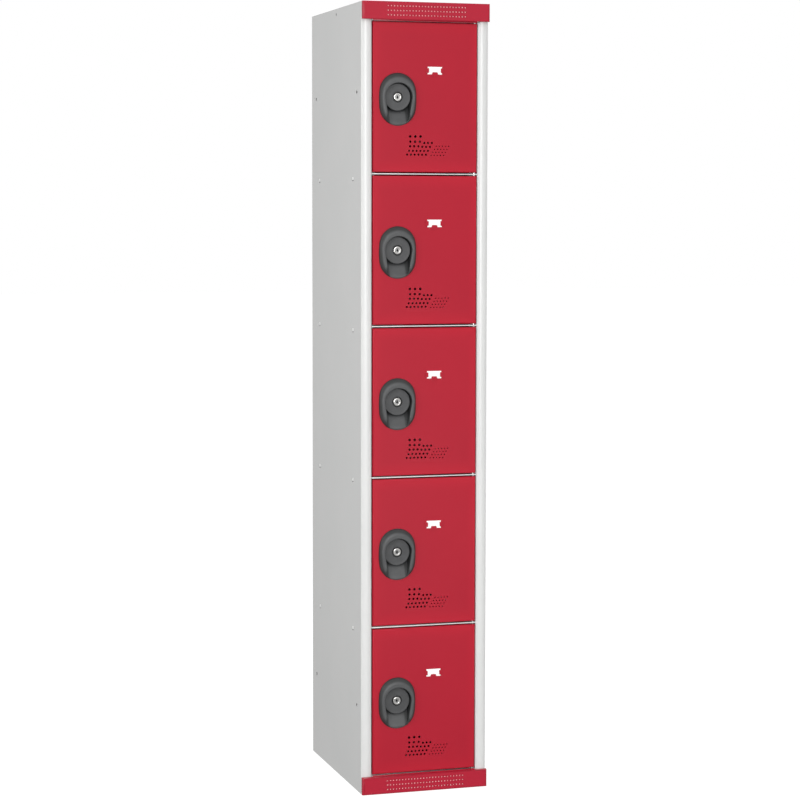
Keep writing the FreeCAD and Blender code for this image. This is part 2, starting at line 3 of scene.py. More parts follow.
import bmesh
import bpy
from mathutils import Matrix, Vector


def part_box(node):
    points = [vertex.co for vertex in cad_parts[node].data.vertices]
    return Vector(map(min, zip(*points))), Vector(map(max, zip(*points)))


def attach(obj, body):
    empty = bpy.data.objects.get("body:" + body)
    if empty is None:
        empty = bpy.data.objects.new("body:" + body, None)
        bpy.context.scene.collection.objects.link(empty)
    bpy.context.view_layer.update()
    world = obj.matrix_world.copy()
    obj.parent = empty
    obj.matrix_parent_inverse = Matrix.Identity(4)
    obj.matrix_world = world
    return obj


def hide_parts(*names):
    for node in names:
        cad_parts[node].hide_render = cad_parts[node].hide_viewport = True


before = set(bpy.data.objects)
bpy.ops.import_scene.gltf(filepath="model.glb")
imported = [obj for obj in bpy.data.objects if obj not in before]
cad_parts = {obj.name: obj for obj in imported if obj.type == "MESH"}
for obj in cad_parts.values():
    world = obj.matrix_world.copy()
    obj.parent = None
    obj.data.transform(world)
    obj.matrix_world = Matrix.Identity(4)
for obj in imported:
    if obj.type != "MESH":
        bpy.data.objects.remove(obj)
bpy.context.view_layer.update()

# Shapes are worked out in millimetres, in the frame's own axes: x right, y back, z up
MM = 0.001


def span(node):
    """Lowest and highest corner of a CAD node."""
    low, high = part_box(node)
    return low / MM, high / MM


def middle(node):
    low, high = span(node)
    return (low + high) / 2


SHEET = 1.0
SHELVES = [f"shelf_{number}" for number in range(1, 5)]

# Doors
DOORS = range(1, 6)
DOOR_LOW, DOOR_HIGH = span("door_3")
DOOR_HALF = DOOR_HIGH.x
DOOR_RISE = (DOOR_HIGH.z - DOOR_LOW.z) / 2
DOOR_BACK = DOOR_HIGH.y
DOOR_FACE = span("label_card_3")[1].y
DOOR_SHEET = 1.0
DOOR_FOLD = 1.6
HEM_WIDTH = 12.0
LOCK_X = middle("lock_plug_3").x
CARD = middle("label_card_3") - middle("door_3")
CARD_HALF = (span("label_card_3")[1] - span("label_card_3")[0]) / 2

# Side panels: their posts and flanges in plan
PANEL_LOW, PANEL_HIGH = span("left_side_panel")
POST_FACE = PANEL_LOW.y
POST_WIDTH = 25.0
POST_CROWN = 5.0
POST_BEND = 3.0
STOP_GAP = 1.5
STOP_FOLD = 1.2
FLANGE_WIDTH = 12
FLANGE_FOLD = 2

# Openings of the side panels; a slot or lug has its left, foot, right, head and corner radius about its place
SKIN_DEPTH = 0.5
FILL_DEPTH = 0.4
FILL_SETBACK = 0.05
LINK_INSET = 40
LINK_LEVELS = (200, 1600)
LINK_RADIUS = 4
LUG_INSET = 72
LUG_DROP = 14.5
LUG_SLOT = (-4, -4, 4, 6, 1.3)
LUG_END = (-3.8, -1.5, 3.8, 5.6, 1.2)
ROOF_HOLE_DROP = 12
ROOF_HOLE_RADIUS = 3.3

# Noses of the floor and shelves: where they end, and the heights below their tops
NOSE_BACK = DOOR_BACK - 3
NOSE_FOOT = 6
NOSE_MIDDLE = 2.5

# Fascia and plinth
BAND_FOLD = 4.0
BAND_EDGE = 1.0
PERFORATION_COLUMNS = 26
PERFORATION_ROWS = (-1, 0, 1)
PERFORATION_ACROSS = 7.25
PERFORATION_UP = 10.2
PERFORATION_RADIUS = 1.45


# Outlines in two directions

def arc(u, v, radius, first, last, steps):
    """Points along an arc, from one angle to another in degrees."""
    points = []
    for step in range(steps + 1):
        angle = math.radians(first + (last - first) * step / steps)
        points.append((u + radius * math.cos(angle), v + radius * math.sin(angle)))
    return points


def ring(u, v, radius, steps):
    """Closed round outline."""
    return arc(u, v, radius, 0, 360, steps)[:-1]


def rectangle(left, low, right, high):
    return [(left, low), (right, low), (right, high), (left, high)]


def eased(corners, radius, steps=4):
    """Closed outline whose corners are rounded."""
    points = []
    for index, corner in enumerate(corners):
        here = Vector(corner)
        before = Vector(corners[index - 1]) - here
        after = Vector(corners[(index + 1) % len(corners)]) - here
        half = before.angle(after) / 2
        setback = radius / math.tan(half)
        centre = here + (before.normalized() + after.normalized()).normalized() * (radius / math.sin(half))
        start = here + before.normalized() * setback - centre
        end = here + after.normalized() * setback - centre
        turn = start.angle_signed(end)
        for step in range(steps + 1):
            spoke = start.copy()
            spoke.rotate(Matrix.Rotation(-turn * step / steps, 2))
            points.append(tuple(centre + spoke))
    return points


def reach(outline, angle):
    """Distance from the middle to a closed outline in one direction."""
    across, up = math.cos(angle), math.sin(angle)
    longest = 0.0
    for (u0, v0), (u1, v1) in zip(outline, outline[1:] + outline[:1]):
        du, dv = u1 - u0, v1 - v0
        turn = across * dv - up * du
        if abs(turn) > 1e-9:
            part = (u0 * up - v0 * across) / turn
            if -1e-6 <= part <= 1 + 1e-6:
                longest = max(longest, (u0 * dv - v0 * du) / turn)
    return longest


def smooth_step(value):
    value = min(max(value, 0.0), 1.0)
    return value * value * (3 - 2 * value)


# Forms, which are meshes being made

def skin(form, rings, wrap=True, caps=True):
    """Faces from each ring of points to the next, and a cap on the first and last ring."""
    rows = [[form.verts.new(point) for point in points] for points in rings]
    count = len(rows[0])
    for row, following in zip(rows, rows[1:]):
        for index in range(count if wrap else count - 1):
            beside = (index + 1) % count
            form.faces.new((row[index], row[beside], following[beside], following[index]))
    if caps:
        form.faces.new(rows[0][::-1])
        form.faces.new(rows[-1])


def turned(form, centre, profile, axis="Y", steps=64):
    """Solid of revolution; the profile gives (radius, place along the axis)."""
    rings = []
    for radius, along in profile:
        points = ring(0, 0, radius, steps)
        if axis == "Y":
            rings.append([(centre[0] + u, along, centre[1] + v) for u, v in points])
        else:
            rings.append([(centre[0] + u, centre[1] + v, along) for u, v in points])
    skin(form, rings)


def plate(form, outline, holes, place, thickness):
    """Flat sheet with holes; place turns (u, v, height) into the frame's axes."""
    curve = bpy.data.curves.new("sheet", "CURVE")
    curve.dimensions = "2D"
    curve.fill_mode = "BOTH"
    curve.extrude = thickness / 2
    for points in [outline] + holes:
        spline = curve.splines.new("POLY")
        spline.points.add(len(points) - 1)
        for knot, (u, v) in zip(spline.points, points):
            knot.co = (u, v, 0, 1)
        spline.use_cyclic_u = True
    holder = bpy.data.objects.new("sheet", curve)
    mesh = bpy.data.meshes.new_from_object(holder)
    mesh.transform(place)
    first = len(form.verts)
    form.from_mesh(mesh)
    form.verts.ensure_lookup_table()
    bmesh.ops.remove_doubles(form, verts=form.verts[first:], dist=0.001)
    bpy.data.objects.remove(holder)
    bpy.data.curves.remove(curve)
    bpy.data.meshes.remove(mesh)


def facing_front(face, thickness):
    """Place for a plate whose front is at y = face."""
    return Matrix.Translation((0, face + thickness / 2, 0)) @ Matrix.Rotation(math.radians(90), 4, "X")


def facing_left(face, thickness):
    """Place for a plate in the (y, z) plane whose outer side is at x = face."""
    turn = Matrix(((0, 0, 1, 0), (1, 0, 0, 0), (0, 1, 0, 0), (0, 0, 0, 1)))
    return Matrix.Translation((face + thickness / 2, 0, 0)) @ turn


def block(form, low, high, bevel):
    """Bar with rounded edges."""
    size = [high[axis] - low[axis] for axis in range(3)]
    centre = [(high[axis] + low[axis]) / 2 for axis in range(3)]
    made = bmesh.ops.create_cube(form, size=1, matrix=Matrix.LocRotScale(centre, None, size))
    edges = list(dict.fromkeys(edge for corner in made["verts"] for edge in corner.link_edges))
    bmesh.ops.bevel(form, geom=edges, offset=bevel, segments=3, profile=0.5, affect="EDGES")


def folded_rim(form, half_width, low, high, front, end_fold, edge_fold, rim_depth):
    """Sides of a folded tray from its front plate to its back edge and up the inside again."""
    lap, steps = 0.4, 8
    depths = {0.0, rim_depth}
    for fold in (end_fold, edge_fold):
        for step in range(steps + 1):
            depths.add(fold * (1 - math.cos(math.radians(90 * step / steps))))

    def inset(fold, at):
        return fold - math.sqrt(max(fold * fold - max(fold - at, 0) ** 2, 0))

    def loop(across, upright, at):
        left, right = -half_width + across, half_width - across
        return [(u, front + at, v) for u, v in rectangle(left, low + upright, right, high - upright)]

    rings = [loop(end_fold + lap, edge_fold + lap, 0)]
    for at in sorted(depths):
        rings.append(loop(inset(end_fold, at), inset(edge_fold, at), at))
    rings.append(loop(SHEET, SHEET, rim_depth))
    inside = max(end_fold, edge_fold, SHEET)
    rings.append(loop(SHEET, SHEET, inside))
    rings.append(loop(end_fold + lap, edge_fold + lap, SHEET))
    rings.append(rings[0])
    skin(form, rings, caps=False)
    bmesh.ops.remove_doubles(form, verts=form.verts, dist=0.0001)


def sheet_run(form, line, thickness, low, high):
    """Upright folded sheet; the line is its outer side in plan and the sheet lies on its left."""
    inner = []
    for index, point in enumerate(line):
        here = Vector(point)
        ahead = Vector(line[min(index + 1, len(line) - 1)]) - here
        behind = here - Vector(line[max(index - 1, 0)])
        ahead = ahead if ahead.length else behind
        behind = behind if behind.length else ahead
        sideways = (ahead.normalized().orthogonal() + behind.normalized().orthogonal()).normalized()
        inner.append(tuple(here + sideways * thickness / sideways.dot(ahead.normalized().orthogonal())))
    outline = list(line) + inner[::-1]
    skin(form, [[(u, v, height) for u, v in outline] for height in (low, high)])


def softened(node, width, nose=None):
    """Form of a CAD node with its sharp edges rounded; nose gives how far its nose's top and foot draw in."""
    form = bmesh.new()
    form.from_mesh(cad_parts[node].data)
    form.transform(Matrix.Scale(1 / MM, 4))
    bmesh.ops.remove_doubles(form, verts=form.verts, dist=0.001)
    if nose:
        top = span(node)[1].z
        for corner in form.verts:
            if corner.co.y < NOSE_BACK and corner.co.z > top - NOSE_FOOT:
                corner.co.z += -nose[0] if corner.co.z > top - NOSE_MIDDLE else nose[1]
    bmesh.ops.dissolve_limit(form, angle_limit=math.radians(1), verts=form.verts, edges=form.edges)
    sharp = 0.5
    edges = [edge for edge in form.edges if edge.is_manifold and edge.calc_face_angle() > sharp]
    bmesh.ops.bevel(
        form, geom=edges, offset=width, segments=2, profile=0.5, affect="EDGES", clamp_overlap=True)
    return form


def joined(form, *others):
    """One form from several."""
    for other in others:
        mesh = bpy.data.meshes.new("part")
        other.to_mesh(mesh)
        other.free()
        form.from_mesh(mesh)
        bpy.data.meshes.remove(mesh)
    return form


def piece(name, form, body, slot, finish, *nodes, height=0.0, sharp=32):
    """Put a form in the scene; it rides on a body and stands for the CAD nodes that it replaces."""
    bmesh.ops.recalc_face_normals(form, faces=form.faces)
    form.transform(Matrix.Scale(MM, 4))
    mesh = bpy.data.meshes.new(name)
    form.to_mesh(mesh)
    form.free()
    mesh.polygons.foreach_set("use_smooth", [True] * len(mesh.polygons))
    mesh.set_sharp_from_angle(angle=math.radians(sharp))
    mesh.materials.append(finish)
    made = bpy.data.objects.new(name, mesh)
    made.location = (0, 0, height * MM)
    bpy.context.collection.objects.link(made)
    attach(made, body)
    if nodes:
        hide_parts(*nodes)
    return made


# Finishes

class Value:
    """A shader socket to reckon with in Python; each sum or product adds a Math node."""

    def __init__(self, finish, socket):
        self.finish = finish
        self.socket = socket

    def reckon(self, operation, *terms):
        return self.finish.node("ShaderNodeMath", {"operation": operation}, dict(enumerate(terms)))

    def __add__(self, other):
        return self.reckon("ADD", self, other)

    def __radd__(self, other):
        return self.reckon("ADD", other, self)

    def __sub__(self, other):
        return self.reckon("SUBTRACT", self, other)

    def __rsub__(self, other):
        return self.reckon("SUBTRACT", other, self)

    def __mul__(self, other):
        return self.reckon("MULTIPLY", self, other)

    def __rmul__(self, other):
        return self.reckon("MULTIPLY", other, self)

    def clipped(self):
        return self.reckon("MINIMUM", self.reckon("MAXIMUM", self, 0.0), 1.0)

    def size(self):
        return self.reckon("ABSOLUTE", self)


class Nodes:
    """A node tree whose nodes all come from node()."""

    def __init__(self, tree):
        self.tree = tree

    def node(self, kind, settings=None, sockets=None, output=0):
        made = self.tree.nodes.new(kind)
        for name, value in (settings or {}).items():
            setattr(made, name, value)
        self.feed(made, sockets or {})
        return Value(self, made.outputs[output])

    def feed(self, node, sockets):
        for name, value in sockets.items():
            if isinstance(value, Value):
                self.tree.links.new(value.socket, node.inputs[name])
            else:
                node.inputs[name].default_value = value


class Finish(Nodes):
    """A material and the patterns that its surface is made of."""

    def __init__(self, name):
        self.material = bpy.data.materials.new(name)
        self.material.use_nodes = True
        super().__init__(self.material.node_tree)
        self.shader = self.tree.nodes["Principled BSDF"]
        self.place = self.node("ShaderNodeTexCoord", output="Object")

    def along(self, axis):
        """One of the surface's own coordinates: 0, 1 or 2 for x, y or z."""
        return self.node("ShaderNodeSeparateXYZ", {}, {0: self.place}, axis)

    def stretched(self, x, y, z):
        """The surface's own coordinates, scaled apart in each direction."""
        return self.node("ShaderNodeVectorMath", {"operation": "MULTIPLY"}, {0: self.place, 1: (x, y, z)})

    def noise(self, scale, detail=2.0, rough=0.5, place=None):
        return self.node("ShaderNodeTexNoise", {}, {
            "Vector": place or self.place, "Scale": scale, "Detail": detail, "Roughness": rough})

    def ramp(self, mask, low, high):
        """Mask that rises from 0 to 1 between two levels of another."""
        return self.node("ShaderNodeMapRange", {"interpolation_type": "SMOOTHSTEP"}, {
            "Value": mask, "From Min": low, "From Max": high})

    def blend(self, mask, first, second):
        return self.node("ShaderNodeMix", {"data_type": "RGBA"}, {0: mask, 6: first, 7: second}, 2)

    def bump(self, height, distance, strength):
        return self.node("ShaderNodeBump", {}, {"Height": height, "Distance": distance, "Strength": strength})

    def paint(self, **sockets):
        self.feed(self.shader, {name.replace("_", " "): value for name, value in sockets.items()})
        return self.material


def colour(red, green, blue):
    """Linear colour of a shade that is given as it looks on a screen, 0 to 255."""
    return tuple(((part / 255 + 0.055) / 1.055) ** 2.4 for part in (red, green, blue)) + (1.0,)


def powder_coat(coat, film, thin, thick, gloss, shine):
    """Baked powder paint: the film's thickness shifts its colour, over orange peel and a fine grain."""
    peel = coat.noise(330.0, 1.0)
    grain = coat.noise(1500.0, 2.0)
    return coat.paint(
        Base_Color=coat.blend((film + 0.12 * (peel - 0.5)).clipped(), thin, thick),
        Roughness=gloss + 0.05 * (film - 0.5) + 0.02 * (peel - 0.5),
        Specular_IOR_Level=shine,
        Normal=coat.bump(peel * 0.75 + grain * 0.25, 0.00012, 0.3))


def carcass_coat():
    """Light grey paint of the sides, posts, shelves, roof and back."""
    coat = Finish("carcass_grey")
    return powder_coat(coat, coat.noise(5.0, 3.0), colour(198, 199, 198), colour(205, 205, 204), 0.25, 0.5)


def band_coat():
    """Glossy red paint of the fascia and the plinth."""
    coat = Finish("band_red")
    return powder_coat(coat, coat.noise(9.0, 3.0), colour(158, 18, 42), colour(168, 20, 46), 0.2, 0.4)


def door_coat():
    """Red paint of the doors, a little brighter towards the folded edges."""
    coat = Finish("door_red")
    across = coat.along(0).size() * (1 / (DOOR_HALF * MM))
    upright = coat.along(2).size() * (1 / (DOOR_RISE * MM))
    edge = coat.ramp(across.reckon("MAXIMUM", across, upright), 0.8, 1.0)
    film = 0.6 * coat.noise(6.0, 3.0) + 0.5 * edge
    return powder_coat(coat, film, colour(154, 21, 40), colour(170, 22, 42), 0.38, 0.2)


def moulded_black():
    """Black plastic with the fine spark texture of its mould, painted paler on the crown and in the scoop as
    painted light, which leaves the steep flank in painted shade.
    """
    plastic = Finish("handle_black")
    spark = plastic.noise(1400.0, 2.0, 0.6)
    pits = plastic.node("ShaderNodeTexVoronoi", {"feature": "F1"}, {"Vector": plastic.place, "Scale": 900.0})
    rub = plastic.ramp(plastic.noise(45.0, 4.0, 0.6), 0.4, 0.7)
    proud = DOOR_FACE * MM - plastic.along(1)
    below = 0.0 - plastic.along(2)
    across = (plastic.along(0) - LOCK_X * MM).size()
    # Painted light: the crown and the scoop below the disc are made paler, and the flank darker, as light and
    # shade would make them
    crown = plastic.ramp(proud, 7.2 * MM, 9.8 * MM)
    lit_scoop = plastic.ramp(below, 26 * MM, 36 * MM) * plastic.ramp(21 * MM - across, 0.0, 4 * MM)
    painted_light = crown.reckon("MAXIMUM", crown, lit_scoop)
    return plastic.paint(
        Base_Color=plastic.blend(
            0.72 * painted_light + 0.16 * rub + 0.12 * spark, colour(36, 38, 38), colour(73, 74, 75)),
        Roughness=0.42 + 0.12 * (spark - 0.5) + 0.06 * rub,
        Specular_IOR_Level=0.5,
        Normal=plastic.bump(spark * 0.7 + pits * 0.3, 0.00008, 0.4))


def turned_black():
    """Black plastic of the pull discs, with fine rings about the lock."""
    plastic = Finish("disc_black")
    across = plastic.along(0) - LOCK_X * MM
    upright = plastic.along(2)
    radius = across.reckon("SQRT", across * across + upright * upright)
    pitch = 1.6 * MM
    rings = 0.5 + 0.5 * radius.reckon("SINE", radius * (2 * math.pi / pitch))
    spark = plastic.noise(1400.0, 2.0, 0.6)
    rub = plastic.ramp(plastic.noise(45.0, 4.0, 0.6), 0.4, 0.7)
    return plastic.paint(
        Base_Color=plastic.blend(
            0.5 * rub + 0.3 * spark + 0.2 * rings, colour(57, 58, 59), colour(70, 71, 72)),
        Roughness=0.4 + 0.1 * (spark - 0.5) + 0.06 * rub,
        Specular_IOR_Level=0.5,
        Normal=plastic.bump(rings * 0.6 + spark * 0.4, 0.0001, 0.4))


def liner_paint():
    """Pale primer on the sheets behind the perforations, tinted pink as painted red light thrown back from
    the band round it.
    """
    primer = Finish("liner_pale_red_bounce")
    tone = primer.noise(60.0, 2.0)
    return primer.paint(
        # The pink of both colours is painted red light from the band
        Base_Color=primer.blend(tone, colour(245, 210, 212), colour(250, 221, 222)),
        Roughness=0.5 + 0.1 * tone,
        Normal=primer.bump(primer.noise(700.0, 2.0), 0.00005, 0.3))


def lug_highlight_finish():
    """Pale finish of the shelf lug ends, slightly cloudy; their paleness is a painted highlight in each slot.
    """
    highlight_finish = Finish("lug_pale_highlight")
    cloud = highlight_finish.noise(150.0, 3.0)
    return highlight_finish.paint(
        # Pale colours as a painted highlight in the slots
        Base_Color=highlight_finish.blend(cloud, colour(236, 237, 236), colour(246, 246, 244)),
        Roughness=0.45 + 0.1 * (cloud - 0.5),
        Normal=highlight_finish.bump(highlight_finish.noise(900.0, 2.0), 0.00004, 0.3))


def lock_nickel():
    """Nickel-plated lock face and pins: bright, with faint round polishing lines."""
    nickel = Finish("bright_nickel")
    lines = nickel.noise(1.0, 3.0, 0.6, nickel.stretched(900.0, 60.0, 900.0))
    haze = nickel.noise(120.0, 2.0)
    return nickel.paint(
        Base_Color=nickel.blend(haze, (0.64, 0.63, 0.61, 1), (0.76, 0.75, 0.73, 1)),
        Metallic=1.0,
        Roughness=0.16 + 0.12 * haze + 0.06 * (lines - 0.5),
        Normal=nickel.bump(lines, 0.00002, 0.2))


def barrel_steel():
    """Dull steel of the lock barrels, with turning lines."""
    steel = Finish("barrel_dull")
    lines = steel.noise(1.0, 3.0, 0.6, steel.stretched(1200.0, 80.0, 1200.0))
    haze = steel.noise(300.0, 2.0)
    return steel.paint(
        Base_Color=steel.blend(haze, (0.32, 0.32, 0.32, 1), (0.44, 0.44, 0.43, 1)),
        Metallic=1.0,
        Roughness=0.32 + 0.1 * haze + 0.06 * (lines - 0.5),
        Normal=steel.bump(lines, 0.00002, 0.3))


def cam_zinc():
    """Zinc-plated steel with a cloudy, slightly warm bloom and a rolled grain."""
    zinc = Finish("zinc_plate")
    bloom = zinc.noise(70.0, 4.0, 0.6)
    rolled = zinc.noise(1.0, 2.0, 0.6, zinc.stretched(1500.0, 1500.0, 90.0))
    return zinc.paint(
        Base_Color=zinc.blend(bloom, (0.5, 0.5, 0.49, 1), (0.66, 0.65, 0.6, 1)),
        Metallic=1.0,
        Roughness=0.3 + 0.2 * bloom + 0.08 * (rolled - 0.5),
        Normal=zinc.bump(rolled * 0.6 + bloom * 0.4, 0.00004, 0.3))


def label_paper():
    """White card with a soft fibre tooth."""
    paper = Finish("card_white")
    fibre = paper.noise(1.0, 4.0, 0.7, paper.stretched(500.0, 500.0, 1600.0))
    tone = paper.noise(60.0, 2.0)
    return paper.paint(
        Base_Color=paper.blend(tone, colour(229, 228, 226), colour(237, 237, 235)),
        Roughness=0.75 + 0.15 * (fibre - 0.5),
        Specular_IOR_Level=0.3,
        Normal=paper.bump(fibre, 0.00006, 0.3))


def studio_paper():
    """Pale floor that brightens away from the locker."""
    paper = Finish("floor_pale")
    away = paper.node("ShaderNodeVectorMath", {"operation": "LENGTH"}, {0: paper.place}, "Value")
    far = paper.ramp(away, 1.0, 5.0)
    tooth = paper.noise(40.0, 3.0)
    return paper.paint(
        Base_Color=paper.blend(far, (0.25, 0.25, 0.25, 1), (0.02, 0.02, 0.02, 1)),
        Roughness=0.8 + 0.1 * (tooth - 0.5),
        Specular_IOR_Level=0.1,
        Emission_Color=paper.blend(far, (0.86, 0.86, 0.86, 1), (1.0, 1.0, 1.0, 1)),
        Emission_Strength=1.0)


grey_paint = carcass_coat()
band_paint = band_coat()
red_paint = door_coat()
black_plastic = moulded_black()
disc_plastic = turned_black()
pale_liner_red_bounce = liner_paint()
pale_lug_highlight = lug_highlight_finish()
nickel = lock_nickel()
dull_steel = barrel_steel()
zinc = cam_zinc()
card_paper = label_paper()


# Carcass

def post_line(side):
    """Outer side of a front post in plan, from the side panel round the crown to the stop's tip."""
    radius = (POST_WIDTH ** 2 / 4 + POST_CROWN ** 2) / (2 * POST_CROWN)
    centre = PANEL_LOW.x + POST_WIDTH / 2
    across = POST_WIDTH / 2 - POST_BEND
    back = radius - math.sqrt((radius - POST_BEND) ** 2 - across ** 2)
    lean = math.degrees(math.asin(across / (radius - POST_BEND)))
    stop = DOOR_BACK + STOP_GAP - POST_FACE
    jamb = PANEL_LOW.x + POST_WIDTH
    line = [(PANEL_LOW.x, back + 1)]
    line += arc(centre - across, back, POST_BEND, 180, 270 - lean, 8)
    line += arc(centre, radius, radius, 270 - lean, 270 + lean, 24)[1:-1]
    line += arc(centre + across, back, POST_BEND, 270 + lean, 360, 8)
    line += arc(jamb + STOP_FOLD, stop - STOP_FOLD, STOP_FOLD, 180, 90, 5)
    line.append((PANEL_HIGH.x, stop))
    return [(side * -u, POST_FACE + v) for u, v in line]


def flange_line(side):
    """Outer side of the back flange in plan, round its fold to the side panel."""
    back = PANEL_HIGH.y
    line = [(PANEL_LOW.x + FLANGE_WIDTH, back)]
    line += arc(PANEL_LOW.x + FLANGE_FOLD, back - FLANGE_FOLD, FLANGE_FOLD, 90, 180, 6)
    line.append((PANEL_LOW.x, back - FLANGE_FOLD - 1))
    return [(side * -u, v) for u, v in line]


def outer_face(side):
    """Place across of the low side of a side panel's skin."""
    return PANEL_LOW.x if side < 0 else -PANEL_LOW.x - SKIN_DEPTH


def lug_places():
    """Middles of the slots where the shelves' lugs show in the sides."""
    places = []
    for shelf in SHELVES:
        level = span(shelf)[1].z - LUG_DROP
        places += [(POST_FACE + LUG_INSET, level), (PANEL_HIGH.y - LUG_INSET, level)]
    return places


def lug_outlines(shape):
    """Outlines of one shape at all those places."""
    left, low, right, high, corner = shape
    return [eased(rectangle(y + left, z + low, y + right, z + high), corner) for y, z in lug_places()]


def side_fill(side, outlines):
    """Flat ends that fill openings of a side panel, just below the paint."""
    form = bmesh.new()
    for outline in outlines:
        plate(form, outline, [], facing_left(outer_face(side) + FILL_SETBACK, FILL_DEPTH), FILL_DEPTH)
    return form


def shelf_lugs(side):
    """Rounded lug ends in the upper part of the slots, pale as a painted highlight."""
    return side_fill(side, lug_outlines(LUG_END))


def roof_plug(side):
    """Round plug in the hole under the roof."""
    return side_fill(side, [ring(0, PANEL_HIGH.z - ROOF_HOLE_DROP, ROOF_HOLE_RADIUS - FILL_SETBACK, 20)])


def side_panel(side):
    """Flat side with link holes, shelf slots and a hole under the roof, its post and its back flange."""
    form = bmesh.new()
    front = post_line(side)[0][1]
    back = flange_line(side)[-1][1]
    top = PANEL_HIGH.z
    holes = []
    for y in (POST_FACE + LINK_INSET, PANEL_HIGH.y - LINK_INSET):
        for z in LINK_LEVELS:
            holes.append(ring(y, z, LINK_RADIUS, 24))
    holes += lug_outlines(LUG_SLOT)
    holes.append(ring(0, top - ROOF_HOLE_DROP, ROOF_HOLE_RADIUS, 20))
    plate(form, rectangle(front, 0, back, top), holes, facing_left(outer_face(side), SKIN_DEPTH), SKIN_DEPTH)
    for line in (post_line(side), flange_line(side)):
        sheet_run(form, line if side < 0 else line[::-1], SHEET, 0, top)
    return form


def perforated_band(node):
    """Fascia or plinth: perforated front plate, folded ends and edges, and a lip at the gap to the door."""
    low, high = span(node)
    form = bmesh.new()
    centre = (low.z + high.z) / 2
    holes = []
    for column in range(PERFORATION_COLUMNS):
        across = PERFORATION_ACROSS * (column - (PERFORATION_COLUMNS - 1) / 2)
        for row in PERFORATION_ROWS:
            holes.append(ring(across, centre + PERFORATION_UP * row, PERFORATION_RADIUS, 14))
    outline = rectangle(low.x + BAND_FOLD, low.z + BAND_EDGE, high.x - BAND_FOLD, high.z - BAND_EDGE)
    plate(form, outline, holes, facing_front(low.y, SHEET), SHEET)
    folds = bmesh.new()
    folded_rim(folds, high.x, low.z, high.z, low.y, BAND_FOLD, BAND_EDGE, high.y - low.y)
    foot, head = (low.z - 2.4, low.z + 1) if node == "top_fascia" else (high.z - 1, high.z + 1.5)
    lip_back = DOOR_FACE + 0.8
    block(folds, (-DOOR_HALF, high.y, foot), (DOOR_HALF, lip_back, head), 0.3)
    return joined(form, folds)


def band_liner(node):
    """Pale sheet behind the perforations, with rounded corners."""
    low, high = span(node)
    form = bmesh.new()
    end, edge, corner, behind, thickness = 8, 3, 3, 2.2, 0.8
    outline = eased(rectangle(low.x + end, low.z + edge, high.x - end, high.z - edge), corner)
    plate(form, outline, [], facing_front(low.y + behind, thickness), thickness)
    return form


def back_rivets():
    """Low domed rivets that hold the back to the floor, the shelves and the roof."""
    form = bmesh.new()
    face = span("back_panel")[1].y
    dome = [(4.2, -0.2), (4.2, 0.12), (3.8, 0.4), (3.0, 0.65), (1.8, 0.82), (0.2, 0.9)]
    drop, row = 8, (-105, 0, 105)
    for carrier in ["floor_panel"] + SHELVES + ["roof_panel"]:
        level = span(carrier)[1].z - drop
        for across in row:
            turned(form, (across, level), [(radius, face + out) for radius, out in dome], steps=24)
    return form


def round_pins():
    """Hinge pins with rounded ends."""
    low, high = span("hinge_pins")
    radius = (high.x - low.x) / 2
    pin_x, pin_y = (low.x + high.x) / 2, (low.y + high.y) / 2
    form = bmesh.new()
    length = 16.0
    for level in range(len(DOORS) + 1):
        foot = low.z + (high.z - low.z - length) * level / len(DOORS)
        profile = [(radius - 0.6, foot), (radius - 0.2, foot + 0.15), (radius, foot + 0.6)]
        profile += [(radius, foot + length - 0.6), (radius - 0.2, foot + length - 0.15)]
        profile.append((radius - 0.6, foot + length))
        turned(form, (pin_x, pin_y), profile, "Z", 24)
    return form


for name, side in (("left", -1), ("right", 1)):
    piece(f"{name}_side_skin", side_panel(side), "carcass", "carcass_paint", grey_paint, f"{name}_side_panel")
    # Lug ends painted pale as a highlight in the slots
    piece(f"{name}_shelf_lugs", shelf_lugs(side), "carcass", "carcass_paint", pale_lug_highlight)
    piece(f"{name}_roof_plug", roof_plug(side), "carcass", "black_plastic", black_plastic)
piece("rivets_of_back", back_rivets(), "carcass", "carcass_paint", grey_paint)
# How far the top and the foot of each nose draw in
NOSES = {"back_panel": None, "roof_panel": None, "floor_panel": (2.2, 0.0)}
NOSES |= dict.fromkeys(SHELVES, (1.4, 1.4))
for node, nose in NOSES.items():
    piece(f"{node}_skin", softened(node, 0.35, nose), "carcass", "carcass_paint", grey_paint, node)
for node in ["top_fascia", "plinth"]:
    piece(f"{node}_skin", perforated_band(node), "carcass", "band_paint", band_paint, node)
    piece(f"{node}_liner", band_liner(node), "carcass", "carcass_paint", pale_liner_red_bounce)
piece("round_hinge_pins", round_pins(), "carcass", "bright_steel", nickel, "hinge_pins")


# Doors

# Rows of larger vents: height, first hole, spacing, number of holes and radius
VENT_ROWS = [
    (-128.4, -42.6, 8.9, 6, 2.4),
    (-119.9, -38.0, 8.92, 6, 2.4),
    (-109.7, -35.6, 9.7, 3, 2.6),
    (-110.7, -7.0, 9.2, 3, 2.45),
    (-99.3, -35.2, 11.35, 3, 2.7),
    (-101.9, -2.2, 9.0, 3, 2.5),
    (-87.6, -35.6, 12.3, 3, 2.95),
]
# Field of pinholes: first hole, lean of each row, spacing, numbers and radius
PINHOLE_X, PINHOLE_Z = 14.0, -129.8
PINHOLE_LEAN = 4.05
PINHOLE_ACROSS, PINHOLE_UP = 7.45, 6.93
PINHOLE_ROWS, PINHOLE_COLUMNS = 4, 5
PINHOLE_RADIUS = 1.37
# Tabs over the card: sheet, reach over its edge, heel beyond it, half of their height,
# and how far the foot stands in
TAB_SHEET = 0.8
TAB_OVERLAP = 3.0
TAB_HEEL = 4.2
TAB_HALF = 5.3
FOOT_GAP = 0.4
FOOT_INSET = 0.1
LOW_TAB = [(-7.2, -4.2), (7.2, -4.2), (7.2, 0.2), (5.6, 4.8), (-5.6, 4.8), (-7.2, 0.2)]


